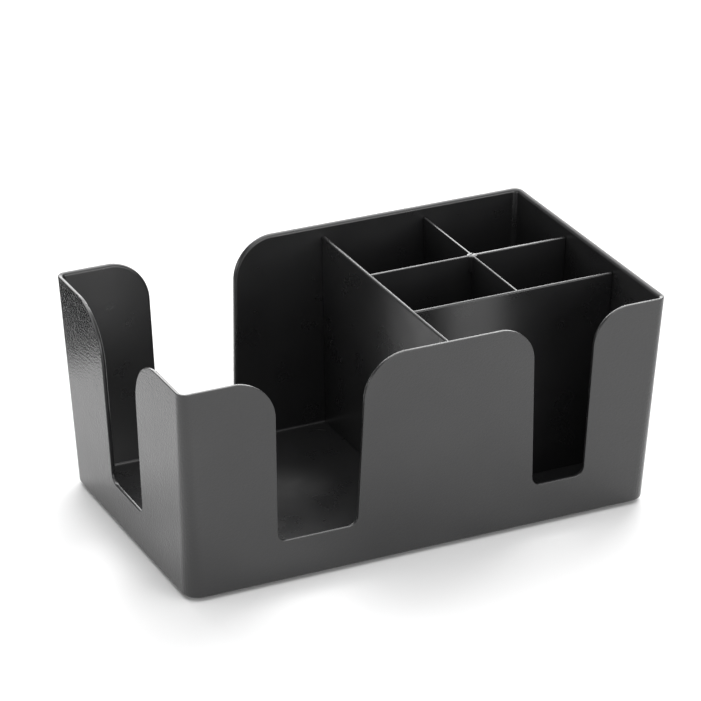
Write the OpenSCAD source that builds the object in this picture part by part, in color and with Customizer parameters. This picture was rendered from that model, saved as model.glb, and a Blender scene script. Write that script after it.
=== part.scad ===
// Bar caddy: an open tray with leaning walls and finger notches, a divider insert
// that stands in it and lifts out, and four rubber feet under the floor.
// X runs along the length, the front wall faces -Y, and Z = 0 is the table.

/* [Tray] */
// Length over the rim
rim_length = 241.8; // [220:0.1:280]
// Width over the rim
rim_width = 145.8; // [132:0.1:170]
// Height of the tray from its underside to its rim
tray_height = 103.6; // [90:0.1:130]
// How far each end wall leans out on its way up
end_lean = 4.75; // [2:0.05:8]
// How far each long wall leans out on its way up
side_lean = 4.75; // [2:0.05:9]
// Thickness of the walls
wall = 2.5; // [2:0.1:3.2]
// Thickness of the floor
floor_thickness = 2.3; // [2:0.1:4]
// Radius between the floor and the walls
floor_fillet = 1.2; // [0.6:0.1:1.8]
// Radius of the upright corners at the rim
corner_radius = 4.5; // [4:0.1:8]
// Radius of the upright corners at the bottom edge
low_corner_radius = 7.6; // [5:0.1:9]
// Radius of the rounded bottom edge
heel_radius = 0.9; // [0.5:0.1:2]

/* [Notches] */
// Height of the notches' lower edge above the tray's underside
notch_sill = 20.2; // [14:0.1:35]
// Draft angle of the notches' sides
notch_draft = 1.7; // [0.5:0.1:4]
// Radius in the lower corners of the notches
notch_low_radius = 4.5; // [2:0.1:8]
// Distance from the rim's left end to the middle of the napkin notches
napkin_notch_place = 67.6; // [60:0.1:75]
// Width of the napkin notches half way up
napkin_notch_width = 41.8; // [30:0.1:50]
// Radius of the rim's ends at the napkin notches
napkin_notch_radius = 21; // [10:0.5:24]
// Width of the stirrer notch half way up
stirrer_notch_width = 29; // [20:0.1:36]
// Radius of the rim's ends at the stirrer notch
stirrer_notch_radius = 18; // [8:0.5:24]
// Width of the end notch half way up
end_notch_width = 38.6; // [25:0.1:46]
// Radius of the rim's ends at the end notch
end_notch_radius = 26; // [10:0.5:30]

/* [Divider insert] */
// Length of the napkin bay on the floor
napkin_bay = 127.1; // [120:0.1:136]
// Depth of the front bay between the front wall and the front cross wall, at the top
front_bay = 43.4; // [35:0.1:50]
// Depth of the middle cells
middle_cell = 44; // [36:0.5:50]
// Length of the left cells, from the partition to the short wall
left_cell = 52; // [40:0.5:60]
// How far the insert's top edges lie below the rim
insert_drop = 5.3; // [2:0.1:15]
// Top thickness of the long partition
partition_thickness = 1.9; // [1.4:0.1:3]
// Top thickness of the two cross walls
cross_thickness = 1.6; // [1.2:0.1:2.6]
// Top thickness of the short wall
short_thickness = 1.2; // [1:0.1:2.4]
// Draft angle of each divider face
divider_draft = 0.25; // [0:0.05:0.6]
// Diameter of the round pad where two dividers cross
pad_diameter = 5; // [3.5:0.1:8]
// Height of that pad
pad_height = 8; // [4:0.5:20]
// Gap between the insert's ends and the tray's walls
insert_gap = 0.4; // [0.3:0.05:0.8]

/* [Feet] */
// Diameter of each foot
foot_diameter = 12; // [8:0.5:16]
// How far the feet hold the tray's underside above the table
foot_stand = 2; // [0.8:0.1:4]
// Depth of the seats in the floor's underside
foot_seat = 0.5; // [0.3:0.1:1]
// Gap around a foot in its seat
foot_gap = 0.2; // [0.1:0.05:0.4]
// Distance from the tray's outside, at its underside, to a foot's middle
foot_inset = 18; // [14:0.5:30]
// Radius of a foot's lower edge
foot_round = 0.8; // [0.3:0.1:1]

/* [Floor marks] */
// Diameter of the round moulding marks on the napkin bay's floor
mark_diameter = 11; // [8:0.5:16]
// Depth of the moulding marks
mark_depth = 0.2; // [0.1:0.05:0.5]
// Distance from the walls to the middle of a mark
mark_wall_inset = 11.5; // [9:0.1:20]
// Distance from the partition to the middle of a mark
mark_partition_inset = 8.6; // [8:0.1:20]

/* [Hidden] */
// How far a cut runs past what it cuts
overrun = 1;
// How far above the rim the rounding of a notch would end
rim_crossing = 0.1;
round_steps = 96;
corner_steps = 32;
rounding_steps = 16;
moulded_black = [0.13, 0.13, 0.14];
rubber_black = [0.07, 0.07, 0.07];

// Heights, measured from the tray's underside
floor_top = floor_thickness;
insert_top = tray_height - insert_drop;

// Outer length and width at height z
function length_at(z) = rim_length - 2 * end_lean * (1 - z / tray_height);
function width_at(z) = rim_width - 2 * side_lean * (1 - z / tray_height);

// Thickness of a divider with a given top thickness, at height z
function divider_at(z, top) = top + 2 * tan(divider_draft) * (insert_top - z);

// Middle lines of the dividers
partition_x = wall + napkin_bay - length_at(floor_top) / 2
    + divider_at(floor_top, partition_thickness) / 2;
front_cross_y = wall + front_bay + cross_thickness / 2 - width_at(insert_top) / 2;
rear_cross_y = front_cross_y + middle_cell + cross_thickness;
short_x = partition_x + partition_thickness / 2 + left_cell + short_thickness / 2;

// Middle lines of the notches
napkin_notch_x = napkin_notch_place - rim_length / 2;
stirrer_notch_x = short_x;

// Rounded rectangle about the origin
module rounded_plate(length, width, radius, steps) {
    square([length - 2 * radius, width], center = true);
    square([length, width - 2 * radius], center = true);
    for (sx = [-1, 1], sy = [-1, 1])
        translate([sx * (length / 2 - radius), sy * (width / 2 - radius)])
            circle(radius, $fn = steps);
}

// Flat slab with rounded corners, a fixed distance inside the tray's outer faces at height z
module slab_at(z, inset, radius) {
    linear_extrude(height = overrun)
        rounded_plate(length_at(z) - 2 * inset, width_at(z) - 2 * inset, radius, corner_steps);
}

// Everything above height z
module above(z) {
    translate([-rim_length, -rim_width, z])
        cube([2 * rim_length, 2 * rim_width, tray_height]);
}

// Disc with its lower edge rounded, standing on zero
module round_footed_disc(radius, rounding) {
    rotate_extrude($fn = corner_steps)
        intersection() {
            translate([radius - rounding, rounding])
                circle(rounding, $fn = rounding_steps);
            square([radius, 2 * rounding]);
        }
}

// Those discs in the four corners of a form that starts at height z, a fixed distance inside
// the tray's outer faces
module four_corners(z, inset, radius, rounding) {
    x = length_at(z + rounding) / 2 - inset - radius;
    y = width_at(z + rounding) / 2 - inset - radius;
    for (sx = [-1, 1], sy = [-1, 1])
        translate([sx * x, sy * y, z])
            round_footed_disc(radius, rounding);
}

// The tray's outer form, running on past the rim
module tray_outside() {
    hull() {
        translate([0, 0, tray_height + overrun])
            slab_at(tray_height + overrun, 0, corner_radius);
        four_corners(0, 0, low_corner_radius, heel_radius);
    }
}

// The room inside the walls, with its rounded edge at the floor
module tray_inside() {
    hull() {
        translate([0, 0, tray_height + overrun])
            slab_at(tray_height + overrun, wall, corner_radius - wall);
        four_corners(floor_top, wall, low_corner_radius - wall, floor_fillet);
    }
}

// Outline of the insert's room, seen along one of its sides, from its half widths at the floor,
// just above the chamfer and at the top
module room_outline(at_floor, above_floor, at_top) {
    polygon([[-at_floor, floor_top], [at_floor, floor_top], [above_floor, floor_top + floor_fillet],
             [at_top, insert_top], [-at_top, insert_top], [-above_floor, floor_top + floor_fillet]]);
}

// Solid between the four leaning inner faces, made smaller by a gap and with its lower edges
// chamfered to stay clear of the floor's fillet
module insert_room(gap) {
    inset = wall + gap;
    edge = floor_top + floor_fillet;
    intersection() {
        translate([0, rim_width / 2, 0])
            rotate([90, 0, 0])
                linear_extrude(height = rim_width)
                    room_outline(length_at(floor_top) / 2 - inset - floor_fillet,
                                 length_at(edge) / 2 - inset, length_at(insert_top) / 2 - inset);
        translate([-rim_length / 2, 0, 0])
            rotate([90, 0, 90])
                linear_extrude(height = rim_length)
                    room_outline(width_at(floor_top) / 2 - inset - floor_fillet,
                                 width_at(edge) / 2 - inset, width_at(insert_top) / 2 - inset);
    }
}

// Left half of a notch, drawn along the wall and up, with its middle at zero
module notch_half(width, rim_radius) {
    slope = tan(notch_draft);
    middle = (tray_height + notch_sill) / 2;
    top = tray_height + overrun;
    rim_z = tray_height - rim_radius + rim_crossing;
    low_z = notch_sill + notch_low_radius;
    rim_x = -width / 2 - slope * (rim_z - middle);
    low_x = -width / 2 - slope * (low_z - middle);
    polygon([[low_x, low_z], [0, low_z], [0, rim_z], [rim_x, rim_z]]);
    difference() {
        translate([rim_x - rim_radius, rim_z])
            square([rim_radius - rim_x, top - rim_z]);
        translate([rim_x - rim_radius, rim_z])
            circle(rim_radius, $fn = round_steps);
    }
    translate([low_x + notch_low_radius, notch_sill])
        square([-low_x - notch_low_radius, notch_low_radius]);
    intersection() {
        translate([low_x, notch_sill])
            square(notch_low_radius);
        translate([low_x + notch_low_radius, low_z])
            circle(notch_low_radius, $fn = round_steps);
    }
}

module notch_outline(width, rim_radius) {
    notch_half(width, rim_radius);
    mirror([1, 0])
        notch_half(width, rim_radius);
}

// Cuts a notch through the front wall, or through front and back when deep is the whole width
module long_wall_notch(x, width, rim_radius, deep) {
    translate([x, deep - rim_width / 2, 0])
        rotate([90, 0, 0])
            linear_extrude(height = deep + overrun)
                notch_outline(width, rim_radius);
}

// Cuts a notch through the left end wall
module end_wall_notch(width, rim_radius) {
    translate([-rim_length / 2 - overrun, 0, 0])
        rotate([90, 0, 90])
            linear_extrude(height = rim_length / 4 + overrun)
                notch_outline(width, rim_radius);
}

// Places its children at a foot's middle: sx and sy choose the corner
module at_foot(sx, sy) {
    translate([sx * (length_at(0) / 2 - foot_inset), sy * (width_at(0) / 2 - foot_inset), 0])
        children();
}

// Shallow round marks in the corners of the napkin bay's floor
module floor_marks() {
    left = wall + mark_wall_inset - length_at(floor_top) / 2;
    right = partition_x - divider_at(floor_top, partition_thickness) / 2 - mark_partition_inset;
    back = width_at(floor_top) / 2 - wall - mark_wall_inset;
    for (x = [left, right], y = [-back, back])
        translate([x, y, floor_top - mark_depth])
            cylinder(h = mark_depth + overrun, d = mark_diameter, $fn = round_steps);
}

// The tray, with its underside at zero
module tray() {
    difference() {
        tray_outside();
        above(tray_height);
        tray_inside();
        long_wall_notch(napkin_notch_x, napkin_notch_width, napkin_notch_radius, rim_width + overrun);
        long_wall_notch(stirrer_notch_x, stirrer_notch_width, stirrer_notch_radius, rim_width / 4);
        end_wall_notch(end_notch_width, end_notch_radius);
        floor_marks();
        for (sx = [-1, 1], sy = [-1, 1])
            at_foot(sx, sy)
                translate([0, 0, -overrun])
                    cylinder(h = foot_seat + overrun, d = foot_diameter + 2 * foot_gap, $fn = round_steps);
    }
}

module caddy_body() {
    color(moulded_black)
        translate([0, 0, foot_stand])
            tray();
}

// Upright divider along X from zero, thinner at its top
module divider(length, top) {
    low = divider_at(floor_top, top) / 2;
    rotate([90, 0, 90])
        linear_extrude(height = length)
            polygon([[-low, floor_top], [low, floor_top], [top / 2, insert_top], [-top / 2, insert_top]]);
}

// The insert's dividers, longer than the tray where they end at its walls
module divider_grid() {
    translate([partition_x, -rim_width / 2, 0])
        rotate([0, 0, 90])
            divider(rim_width, partition_thickness);
    for (y = [front_cross_y, rear_cross_y])
        translate([partition_x, y, 0])
            divider(rim_length / 2 - partition_x, cross_thickness);
    translate([short_x, front_cross_y, 0])
        rotate([0, 0, 90])
            divider(rim_width / 2 - front_cross_y, short_thickness);
    translate([short_x, rear_cross_y, insert_top - pad_height])
        cylinder(h = pad_height, d = pad_diameter, $fn = round_steps);
}

module divider_insert() {
    color(moulded_black)
        translate([0, 0, foot_stand])
            intersection() {
                divider_grid();
                insert_room(insert_gap);
            }
}

// One foot, standing on the table
module foot() {
    radius = foot_diameter / 2;
    height = foot_stand + foot_seat;
    color(rubber_black)
        rotate_extrude($fn = round_steps)
            union() {
                translate([0, foot_round])
                    square([radius, height - foot_round]);
                square([radius - foot_round, height]);
                translate([radius - foot_round, foot_round])
                    intersection() {
                        circle(foot_round, $fn = round_steps);
                        translate([0, -foot_round])
                            square([foot_round, foot_round]);
                    }
            }
}

module foot_front_left() { at_foot(-1, -1) foot(); }
module foot_front_right() { at_foot(1, -1) foot(); }
module foot_back_left() { at_foot(-1, 1) foot(); }
module foot_back_right() { at_foot(1, 1) foot(); }

caddy_body();
divider_insert();
foot_front_left();
foot_front_right();
foot_back_left();
foot_back_right();
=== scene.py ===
"""Bar caddy: the moulded tray, its lift-out divider insert and its feet, on a pale table."""

import math

import bmesh
import bpy
from mathutils import Matrix, Vector


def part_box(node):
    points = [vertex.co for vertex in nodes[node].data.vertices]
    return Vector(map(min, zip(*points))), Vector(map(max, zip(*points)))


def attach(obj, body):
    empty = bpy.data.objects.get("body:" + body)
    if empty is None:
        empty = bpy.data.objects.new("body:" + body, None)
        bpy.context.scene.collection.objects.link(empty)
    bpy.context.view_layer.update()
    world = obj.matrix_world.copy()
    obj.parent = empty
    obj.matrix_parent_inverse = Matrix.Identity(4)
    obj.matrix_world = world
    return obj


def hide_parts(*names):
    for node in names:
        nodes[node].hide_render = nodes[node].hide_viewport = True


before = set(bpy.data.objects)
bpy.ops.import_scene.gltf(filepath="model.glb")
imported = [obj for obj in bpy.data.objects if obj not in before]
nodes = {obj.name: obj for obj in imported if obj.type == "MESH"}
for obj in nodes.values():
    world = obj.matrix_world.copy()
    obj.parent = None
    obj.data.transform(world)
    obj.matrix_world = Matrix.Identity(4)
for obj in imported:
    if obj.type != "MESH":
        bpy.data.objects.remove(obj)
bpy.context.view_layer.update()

MM = 0.001

# Camera, as found from the edges of the object in the photograph
CAMERA_TURN = math.radians(25.49)
CAMERA_DROP = math.radians(25.08)
CAMERA_DISTANCE = 1800.0 * MM
CAMERA_ASIDE = 3.99 * MM
CAMERA_ABOVE = -66.22 * MM
CAMERA_BASE = -0.4 * MM
FOCAL_PIXELS = 3830.0
PICTURE_PIXELS = 701.0
SENSOR_WIDTH = 36.0
FAR_LIMIT = 50.0

# Lights: name, turn and lift in degrees, reach, width and height in metres, strength
LIGHTS = (
    ("top_light", 0.0, 89.9, 1.6, 2.2, 2.2, 1.40),
    ("high_back_light", 25.0, 60.0, 1.8, 1.8, 0.8, 1.90),
    ("back_light", 25.0, 35.0, 1.9, 2.2, 0.8, 1.57),
    ("low_back_light", 25.0, 15.0, 1.9, 2.2, 0.6, 5.54),
    ("back_right_light", 42.0, 50.0, 1.9, 1.2, 0.7, 2.80),
    ("low_left_light", -75.0, 12.0, 1.9, 2.0, 0.5, 3.47),
    ("front_right_light", 140.0, 55.0, 1.8, 1.6, 1.0, 0.21),
    ("front_light", 190.0, 50.0, 1.9, 1.8, 1.4, 0.83),
    ("low_front_light", 156.0, 18.0, 1.9, 1.8, 0.7, 3.32),
    ("lowest_front_light", 180.0, 9.0, 1.9, 3.0, 0.5, 1.20),
)
LIGHT_TARGET = Vector((0.0, 0.0, 50.0 * MM))
WORLD_TONE = (1.0, 1.0, 1.0, 1.0)
WORLD_STRENGTH = 0.254

# Pale table, and a black card just above it at the back left: painted shade on the table there, which only
# shows mirrored in the plastic as a painted dark reflection
TABLE_SIZE = (12.0, 12.0)
TABLE_PLACE = (0.0, 0.0, 0.0)
TABLE_TONE = (0.9, 0.9, 0.9, 1.0)
TABLE_SHINE = 0.2
SHADE_CARD_SIZE = (0.8, 1.0)
SHADE_CARD_PLACE = (-0.55, 0.676, 2.0 * MM)
SHADE_CARD_TONE = (0.0, 0.0, 0.0, 1.0)
SHADE_CARD_SHINE = 0.0
SHEET_ROUGHNESS = 0.6

# Ends of the range in which a noise pattern mostly stays
NOISE_LOW = 0.3
NOISE_HIGH = 0.7

# Plastic
PLASTIC_IOR = 1.59
PLASTIC_DARK = (0.012, 0.012, 0.0125)
PLASTIC_LIGHT = (0.016, 0.016, 0.0165)
CLOUD_SCALE = 28.0
CLOUD_DETAIL = 3.0
WIPED_SCALE = 60.0
WIPED_DETAIL = 4.0
SMOOTH_ROUGHNESS = (0.26, 0.32)
GRAINED_ROUGHNESS = (0.18, 0.23)
GRAIN_SIZE = 1.1 * MM
GRAIN_HEIGHT = 0.17 * MM
FAINT_SIZE = 6.0 * MM
FAINT_HEIGHT = 0.008 * MM
BUMP_DETAIL = 2.0

# Pale patch on the napkin bay's floor: partly wear, partly painted reflection of the light that comes
# through the notch
WEAR_AND_SHEEN_MIDDLE = (-31.0 * MM, 11.0 * MM, 4.3 * MM)
WEAR_AND_SHEEN_REACH = 27.0 * MM
WEAR_AND_SHEEN_TONE = (0.05, 0.05, 0.05, 1.0)
WEAR_AND_SHEEN_SCALE = 110.0
WEAR_AND_SHEEN_DETAIL = 4.0
WEAR_AND_SHEEN_AMOUNT = (0.55, 1.0)

# Rubber
RUBBER_DARK = (0.012, 0.012, 0.012)
RUBBER_DUSTY = (0.03, 0.03, 0.029)
DUST_SCALE = 900.0
DUST_DETAIL = 3.0
DUST_LOW = 0.35
DUST_HIGH = 0.75
RUBBER_ROUGHNESS = (0.7, 0.9)
RUBBER_GRAIN_HEIGHT = 0.03 * MM

# Sockets that share their name with others of their node
FIRST = 0
SECOND = 1
COLOR_A = 6
COLOR_B = 7
COLOR_RESULT = 2

# Moulded edges
END_RIM_ROUND = 1.8 * MM
LONG_RIM_ROUND = 1.3 * MM
RIM_OUTER_ROUND = 0.3 * MM
PARTITION_ROUND = 0.9 * MM
CROSS_WALL_ROUND = 0.65 * MM
SHORT_WALL_ROUND = 0.45 * MM
PAD_ROUND = 0.3 * MM
PLAIN_ROUND = 0.2 * MM
MARK_ROUND = 0.15 * MM
WIDE_SEGMENTS = 4
RIM_OUTER_SEGMENTS = 3
MARK_SEGMENTS = 2

# How edges and faces are told apart
WELD = 0.002 * MM
FLAT_ANGLE = math.radians(0.3)
SHARP_ANGLE = math.radians(40.0)
WIDEST_STRIP = 1.05 * MM
WALL_REACH = 10.0 * MM
WALL_LOOK = 0.5
RIM_ABOVE_FLOOR = 5.0 * MM
MARK_REACH = 0.05 * MM
MARK_STEP = 1.0 * MM
TOP_BAND = 1.0 * MM
PAD_PLACE = (68.26 * MM, 19.64 * MM)
PAD_REACH = 3.0 * MM
SHORT_WALL_START = 40.0 * MM


# Meshes

def put_in_scene(name, data):
    piece = bpy.data.objects.new(name, data)
    bpy.context.scene.collection.objects.link(piece)
    return piece


def merged_copy(node):
    """The node's triangles joined into one surface with whole flat faces."""
    mesh = bmesh.new()
    mesh.from_mesh(nodes[node].data)
    bmesh.ops.remove_doubles(mesh, verts=mesh.verts, dist=WELD)
    bmesh.ops.dissolve_limit(mesh, angle_limit=FLAT_ANGLE, verts=mesh.verts, edges=mesh.edges,
                             use_dissolve_boundaries=False)
    return mesh


def sharp_edges(mesh):
    """Outer corners of the surface."""
    return [edge for edge in mesh.edges if len(edge.link_faces) == 2 and edge.is_convex
            and edge.calc_face_angle(0.0) > SHARP_ANGLE]


def round_edges(mesh, test, radius, segments):
    """Rounds the outer corners for which test says yes, all by one radius."""
    edges = [edge for edge in sharp_edges(mesh) if test(edge)]
    bmesh.ops.bevel(mesh, geom=edges, offset=radius, offset_type="OFFSET", segments=segments,
                    profile=0.5, affect="EDGES", clamp_overlap=False, material=-1)
    mesh.normal_update()


def rounded_by_weight(mesh, widest):
    """The surface with its weighted edges rounded, each by its share of the widest rounding."""
    data = bpy.data.meshes.new("unrounded")
    mesh.to_mesh(data)
    carrier = put_in_scene("unrounded", data)
    rounding = carrier.modifiers.new("round_edges", "BEVEL")
    rounding.limit_method = "WEIGHT"
    rounding.width = widest
    rounding.segments = WIDE_SEGMENTS
    rounding.use_clamp_overlap = False
    shaped = bpy.data.meshes.new_from_object(carrier.evaluated_get(bpy.context.evaluated_depsgraph_get()))
    mesh.clear()
    mesh.from_mesh(shaped)
    bpy.data.objects.remove(carrier)
    bpy.data.meshes.remove(data)
    bpy.data.meshes.remove(shaped)


def strip_width(face):
    """Width of a face, measured as if it were a long strip."""
    return 2 * face.calc_area() / face.calc_perimeter()


def hold_flat_faces(mesh, data):
    """Shades flat faces flat and the roundings between them smooth."""
    flat = {face for face in mesh.faces if strip_width(face) > WIDEST_STRIP}
    normals = []
    for face in mesh.faces:
        for loop in face.loops:
            normals.append(face.normal.copy() if face in flat else strip_normal(face, loop, flat))
    data.normals_split_custom_set(normals)


def strip_normal(face, loop, flat):
    """The direction at one corner of a narrow face: its flat neighbour's, or the strips' mean."""
    beside = [other for edge in (loop.edge, loop.link_loop_prev.edge) for other in edge.link_faces
              if other in flat and edge.calc_face_angle(0.0) < SHARP_ANGLE]
    if not beside:
        beside = [other for other in loop.vert.link_faces
                  if other not in flat and other.normal.angle(face.normal, 0.0) < SHARP_ANGLE]
    mean = Vector((0.0, 0.0, 0.0))
    for other in dict.fromkeys(beside):
        mean += other.normal
    return mean.normalized()


def finish_piece(mesh, name, node, body, material):
    """Puts the surface in the scene in place of its node."""
    data = bpy.data.meshes.new(name)
    mesh.normal_update()
    for face in mesh.faces:
        face.smooth = True
    mesh.to_mesh(data)
    data.set_sharp_from_angle(angle=SHARP_ANGLE)
    hold_flat_faces(mesh, data)
    mesh.free()
    data.materials.append(material)
    piece = put_in_scene(name, data)
    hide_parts(node)
    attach(piece, body)


# Materials

def new_material(name):
    material = bpy.data.materials.new(name)
    material.use_nodes = True
    tree = material.node_tree
    tree.nodes.clear()
    output = tree.nodes.new("ShaderNodeOutputMaterial")
    shader = tree.nodes.new("ShaderNodeBsdfPrincipled")
    tree.links.new(shader.outputs["BSDF"], output.inputs["Surface"])
    return material, tree, shader


def noise(tree, scale, detail, coordinates):
    node = tree.nodes.new("ShaderNodeTexNoise")
    node.inputs["Scale"].default_value = scale
    node.inputs["Detail"].default_value = detail
    tree.links.new(coordinates, node.inputs["Vector"])
    return node.outputs["Fac"]


def tone_between(tree, source, low, high, dark, light):
    """A colour that goes from dark to light as the source goes from low to high."""
    node = tree.nodes.new("ShaderNodeValToRGB")
    for element, place, color in zip(node.color_ramp.elements, (low, high), (dark, light)):
        element.position = place
        element.color = (*color, 1.0)
    tree.links.new(source, node.inputs["Fac"])
    return node.outputs["Color"]


def spread(tree, source, low, high):
    """A noise pattern stretched over the numbers from low to high."""
    node = tree.nodes.new("ShaderNodeMapRange")
    node.inputs["From Min"].default_value = NOISE_LOW
    node.inputs["From Max"].default_value = NOISE_HIGH
    node.inputs["To Min"].default_value = low
    node.inputs["To Max"].default_value = high
    tree.links.new(source, node.inputs["Value"])
    return node.outputs["Result"]


def bump(tree, height, distance):
    """A relief of the given depth under the light."""
    node = tree.nodes.new("ShaderNodeBump")
    node.inputs["Distance"].default_value = distance
    tree.links.new(height, node.inputs["Height"])
    return node


def wear_and_sheen(tree, tone, place):
    """A tone that turns paler and cloudy towards the middle of the patch, which is partly wear and partly a
    painted reflection of the light through the notch.
    """
    distance = tree.nodes.new("ShaderNodeVectorMath")
    distance.operation = "DISTANCE"
    distance.inputs[SECOND].default_value = WEAR_AND_SHEEN_MIDDLE
    tree.links.new(place, distance.inputs[FIRST])
    nearness = tree.nodes.new("ShaderNodeMapRange")
    nearness.interpolation_type = "SMOOTHSTEP"
    nearness.inputs["From Min"].default_value = WEAR_AND_SHEEN_REACH
    nearness.inputs["From Max"].default_value = 0.0
    tree.links.new(distance.outputs["Value"], nearness.inputs["Value"])
    patches = spread(tree, noise(tree, WEAR_AND_SHEEN_SCALE, WEAR_AND_SHEEN_DETAIL, place), *WEAR_AND_SHEEN_AMOUNT)
    amount = tree.nodes.new("ShaderNodeMath")
    amount.operation = "MULTIPLY"
    tree.links.new(nearness.outputs["Result"], amount.inputs[FIRST])
    tree.links.new(patches, amount.inputs[SECOND])
    # The paler tone is painted reflection of the light through the notch, mixed with wear
    mixed = tree.nodes.new("ShaderNodeMix")
    mixed.data_type = "RGBA"
    tree.links.new(amount.outputs["Value"], mixed.inputs["Factor"])
    tree.links.new(tone, mixed.inputs[COLOR_A])
    mixed.inputs[COLOR_B].default_value = WEAR_AND_SHEEN_TONE
    return mixed.outputs[COLOR_RESULT]


def moulded_plastic(name):
    """Black moulded plastic: a fine grain on its outside, faint flow clouds, handling marks, and a pale
    patch on the napkin bay's floor that is partly wear and partly painted reflection.
    """
    material, tree, shader = new_material(name)
    place = tree.nodes.new("ShaderNodeTexCoord").outputs["Object"]
    outside = tree.nodes.new("ShaderNodeAttribute")
    outside.attribute_name = "outside"
    clouds = noise(tree, CLOUD_SCALE, CLOUD_DETAIL, place)
    tone = tone_between(tree, clouds, NOISE_LOW, NOISE_HIGH, PLASTIC_DARK, PLASTIC_LIGHT)
    # Base colour with the pale patch on the napkin bay's floor, partly wear and partly painted reflection
    # of the light through the notch
    tree.links.new(wear_and_sheen(tree, tone, place), shader.inputs["Base Color"])
    wiped = noise(tree, WIPED_SCALE, WIPED_DETAIL, place)
    gloss = tree.nodes.new("ShaderNodeMix")
    tree.links.new(outside.outputs["Fac"], gloss.inputs["Factor"])
    tree.links.new(spread(tree, wiped, *SMOOTH_ROUGHNESS), gloss.inputs["A"])
    tree.links.new(spread(tree, wiped, *GRAINED_ROUGHNESS), gloss.inputs["B"])
    tree.links.new(gloss.outputs["Result"], shader.inputs["Roughness"])
    faint_bump = bump(tree, noise(tree, 1.0 / FAINT_SIZE, BUMP_DETAIL, place), FAINT_HEIGHT)
    grain_bump = bump(tree, noise(tree, 1.0 / GRAIN_SIZE, BUMP_DETAIL, place), GRAIN_HEIGHT)
    tree.links.new(outside.outputs["Fac"], grain_bump.inputs["Strength"])
    tree.links.new(faint_bump.outputs["Normal"], grain_bump.inputs["Normal"])
    tree.links.new(grain_bump.outputs["Normal"], shader.inputs["Normal"])
    shader.inputs["IOR"].default_value = PLASTIC_IOR
    return material


def rubber(name):
    """Dull rubber with dust in its pores."""
    material, tree, shader = new_material(name)
    place = tree.nodes.new("ShaderNodeTexCoord").outputs["Object"]
    dust = noise(tree, DUST_SCALE, DUST_DETAIL, place)
    tone = tone_between(tree, dust, DUST_LOW, DUST_HIGH, RUBBER_DARK, RUBBER_DUSTY)
    tree.links.new(tone, shader.inputs["Base Color"])
    tree.links.new(spread(tree, dust, *RUBBER_ROUGHNESS), shader.inputs["Roughness"])
    pores = bump(tree, dust, RUBBER_GRAIN_HEIGHT)
    tree.links.new(pores.outputs["Normal"], shader.inputs["Normal"])
    return material


def plain_paint(name, tone, shine):
    """One even tone, for the sheets around the object."""
    material, tree, shader = new_material(name)
    shader.inputs["Base Color"].default_value = tone
    shader.inputs["Roughness"].default_value = SHEET_ROUGHNESS
    shader.inputs["Specular IOR Level"].default_value = shine
    return material


# Tray

body_high = Vector(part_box("caddy_body")[1])
insert_low, insert_high = (Vector(corner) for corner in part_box("divider_insert"))
floor_level = insert_low.z
insert_top = insert_high.z
pad_middle = Vector((*PAD_PLACE, insert_top))


def away_from_middle(place):
    """The level direction in which the wall or corner at a place looks out."""
    on_end_wall = abs(place.x) > body_high.x - WALL_REACH
    on_long_wall = abs(place.y) > body_high.y - WALL_REACH
    return Vector((math.copysign(1.0, place.x) * on_end_wall,
                   math.copysign(1.0, place.y) * on_long_wall, 0.0)).normalized()


def outwardness(edge):
    """How far the wall face beside an edge looks away from the tray's middle, from -1 to 1."""
    away = away_from_middle((edge.verts[0].co + edge.verts[1].co) / 2)
    return max((face.normal.dot(away) for face in edge.link_faces), key=abs)


def looks_out(face):
    """Whether a face belongs to the grained outside of the walls."""
    return face.normal.dot(away_from_middle(face.calc_center_median())) > WALL_LOOK


def above_floor(edge):
    return min(v.co.z for v in edge.verts) > floor_level + RIM_ABOVE_FLOOR


def is_outer_rim(edge):
    return above_floor(edge) and outwardness(edge) > WALL_LOOK


def is_inner_rim(edge):
    return above_floor(edge) and outwardness(edge) < -WALL_LOOK


def inner_rim_round(edge):
    """Rounding of an edge of the inner rim: wider on the end walls than on the long walls."""
    inner_face = min(edge.link_faces,
                     key=lambda face: face.normal.dot(away_from_middle(face.calc_center_median())))
    return LONG_RIM_ROUND + (END_RIM_ROUND - LONG_RIM_ROUND) * abs(inner_face.normal.x)


def is_mark(edge):
    """Whether an edge is on the rim of a moulding mark in the floor."""
    level = all(abs(v.co.z - floor_level) < MARK_REACH for v in edge.verts)
    return level and edge.calc_length() < MARK_STEP


tray = merged_copy("caddy_body")
tray_weights = tray.edges.layers.float.new("bevel_weight_edge")
for edge in filter(is_inner_rim, sharp_edges(tray)):
    edge[tray_weights] = inner_rim_round(edge) / END_RIM_ROUND
rounded_by_weight(tray, END_RIM_ROUND)
round_edges(tray, is_outer_rim, RIM_OUTER_ROUND, RIM_OUTER_SEGMENTS)
round_edges(tray, is_mark, MARK_ROUND, MARK_SEGMENTS)
outside = tray.faces.layers.float.new("outside")
for face in tray.faces:
    face[outside] = float(looks_out(face))
finish_piece(tray, "tray_moulding", "caddy_body", "tray", moulded_plastic("tray_plastic"))

# Divider insert


def edge_round(edge):
    """Rounding of one outer edge of the insert, by the wall it belongs to."""
    first, second = (v.co for v in edge.verts)
    middle = (first + second) / 2
    if min(first.z, second.z) < insert_top - TOP_BAND:
        return PLAIN_ROUND
    if (middle - pad_middle).length < PAD_REACH:
        return PAD_ROUND
    if abs(first.x - second.x) > abs(first.y - second.y):
        return CROSS_WALL_ROUND
    return PARTITION_ROUND if middle.x < SHORT_WALL_START else SHORT_WALL_ROUND


insert = merged_copy("divider_insert")
insert_weights = insert.edges.layers.float.new("bevel_weight_edge")
for edge in sharp_edges(insert):
    edge[insert_weights] = edge_round(edge) / PARTITION_ROUND
rounded_by_weight(insert, PARTITION_ROUND)
finish_piece(insert, "insert_moulding", "divider_insert", "insert",
             moulded_plastic("insert_plastic"))

# Feet

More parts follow.
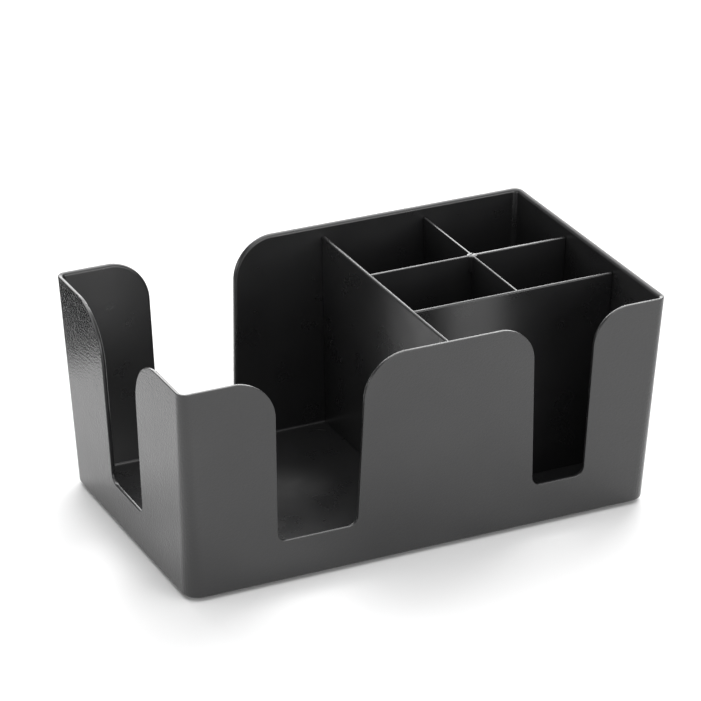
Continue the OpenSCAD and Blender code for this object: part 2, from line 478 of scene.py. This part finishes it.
foot_rubber = rubber("foot_rubber")
for name in ("foot_front_left", "foot_front_right", "foot_back_left", "foot_back_right"):
    foot = nodes[name]
    foot.data.materials.clear()
    foot.data.materials.append(foot_rubber)

# Table, and the card that paints shade into the plastic's reflections


def sheet(name, size, place, material):
    """A level sheet of some width and depth around a place, for the object to stand on or to mirror."""
    mesh = bmesh.new()
    bmesh.ops.create_grid(mesh, x_segments=1, y_segments=1, size=1.0)
    bmesh.ops.scale(mesh, verts=mesh.verts, vec=(size[0] / 2, size[1] / 2, 1.0))
    bmesh.ops.translate(mesh, verts=mesh.verts, vec=place)
    data = bpy.data.meshes.new(name)
    mesh.to_mesh(data)
    mesh.free()
    data.materials.append(material)
    return put_in_scene(name, data)


table_top = sheet("table_top", TABLE_SIZE, TABLE_PLACE, plain_paint("table_paint", TABLE_TONE, TABLE_SHINE))

# Black sheet standing in for shade on the table at the back left; hidden from the camera, diffuse light and
# shadows, it only shows as a painted dark reflection in the plastic
shade_card = sheet("shade_card", SHADE_CARD_SIZE, SHADE_CARD_PLACE, plain_paint("shade_card", SHADE_CARD_TONE, SHADE_CARD_SHINE))
shade_card.visible_camera = False
shade_card.visible_diffuse = False
shade_card.visible_shadow = False

# Lights


def soft_light(name, turn, lift, reach, width, height, strength):
    """A rectangle of light that faces the object, turned from the back towards the right."""
    data = bpy.data.lights.new(name, "AREA")
    data.shape = "RECTANGLE"
    data.size = width
    data.size_y = height
    data.energy = strength * math.pi * width * height
    light = put_in_scene(name, data)
    turn, lift = math.radians(turn), math.radians(lift)
    away = Vector((math.sin(turn) * math.cos(lift), math.cos(turn) * math.cos(lift), math.sin(lift)))
    facing = (-away).to_track_quat("-Z", "Y").to_matrix().to_4x4()
    light.matrix_world = Matrix.Translation(away * reach + LIGHT_TARGET) @ facing


for light in LIGHTS:
    soft_light(*light)
bpy.context.scene.view_settings.view_transform = "Standard"

world = bpy.data.worlds.new("studio")
world.use_nodes = True
world.node_tree.nodes["Background"].inputs["Color"].default_value = WORLD_TONE
world.node_tree.nodes["Background"].inputs["Strength"].default_value = WORLD_STRENGTH
bpy.context.scene.world = world

# Camera

ahead = Vector((math.sin(CAMERA_TURN) * math.cos(CAMERA_DROP),
                math.cos(CAMERA_TURN) * math.cos(CAMERA_DROP), -math.sin(CAMERA_DROP)))
right = Vector((math.cos(CAMERA_TURN), -math.sin(CAMERA_TURN), 0.0))
up = right.cross(ahead)
eye = -CAMERA_ASIDE * right - CAMERA_ABOVE * up - CAMERA_DISTANCE * ahead
eye.z += CAMERA_BASE
camera_data = bpy.data.cameras.new("camera")
camera_data.sensor_width = SENSOR_WIDTH
camera_data.sensor_fit = "HORIZONTAL"
camera_data.lens = FOCAL_PIXELS / PICTURE_PIXELS * SENSOR_WIDTH
camera_data.clip_end = FAR_LIMIT
camera = put_in_scene("camera", camera_data)
camera.matrix_world = Matrix((
    (right.x, up.x, -ahead.x, eye.x),
    (right.y, up.y, -ahead.y, eye.y),
    (right.z, up.z, -ahead.z, eye.z),
    (0.0, 0.0, 0.0, 1.0)))
bpy.context.scene.camera = camera
